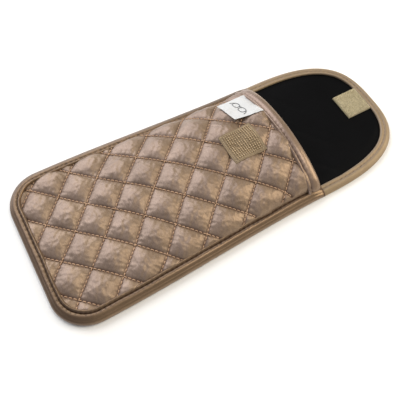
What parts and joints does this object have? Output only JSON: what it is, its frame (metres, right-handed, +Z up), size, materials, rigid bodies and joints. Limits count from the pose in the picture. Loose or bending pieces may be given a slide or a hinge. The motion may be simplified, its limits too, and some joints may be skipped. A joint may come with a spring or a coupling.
{
  "type": "soft glasses pouch",
  "caption": "Soft quilted pouch for glasses, open at one end, with bound edges and a rounded fold-over flap held by a hook-and-loop patch.",
  "frame": {"origin": "centre of the footprint, on the surface the pouch lies on, with its flap open flat", "axes": "+X across the pouch, +Y from the closed end towards the flap's tip, +Z up out of the front panel"},
  "size_m": [0.1, 0.231, 0.0227],
  "materials": {
    "bronze_satin": "quilted satin, taupe bronze",
    "satin_tape": "satin binding tape",
    "wadding": "polyester wadding",
    "black_lining": "smooth black lining cloth",
    "hook_tape": "woven hook tape, khaki",
    "loop_tape": "brushed loop tape, pale khaki",
    "white_label": "white satin ribbon, blank",
    "khaki_thread": "spun polyester sewing thread",
    "brown_thread": "spun polyester sewing thread"
  },
  "bodies": {
    "pouch": {"back_shell": "bronze_satin", "back_padding": "wadding", "back_lining": "black_lining", "front_shell": "bronze_satin", "front_padding": "wadding", "front_lining": "black_lining", "mouth_binding": "satin_tape", "mouth_stitching": "brown_thread", "side_binding": "satin_tape", "side_stitching": "brown_thread", "hook_patch": "hook_tape", "hook_patch_stitching": "khaki_thread", "label": "white_label"},
    "flap_root": {"flap_root_shell": "bronze_satin", "flap_root_padding": "wadding", "flap_root_lining": "black_lining", "flap_root_binding": "satin_tape", "flap_root_stitching": "brown_thread"},
    "flap_tip": {"flap_shell": "bronze_satin", "flap_padding": "wadding", "flap_lining": "black_lining", "flap_binding": "satin_tape", "flap_stitching": "brown_thread", "loop_patch": "loop_tape", "loop_patch_stitching": "khaki_thread"}
  },
  "joints": [
    {"name": "flap_fold", "type": "hinge", "parent": "pouch", "child": "flap_root", "pos_m": [0, 0.049, 0.0039], "axis": [1, 0, 0], "range_deg": [0, 90]},
    {"name": "flap_shoulder", "type": "hinge", "parent": "flap_root", "child": "flap_tip", "pos_m": [0, 0.0703, 0.0039], "axis": [1, 0, 0], "range_deg": [0, 96]}
  ],
  "couplings": [
    {"joint": "flap_shoulder", "follows": "flap_fold", "ratio": 1.0666}
  ]
}
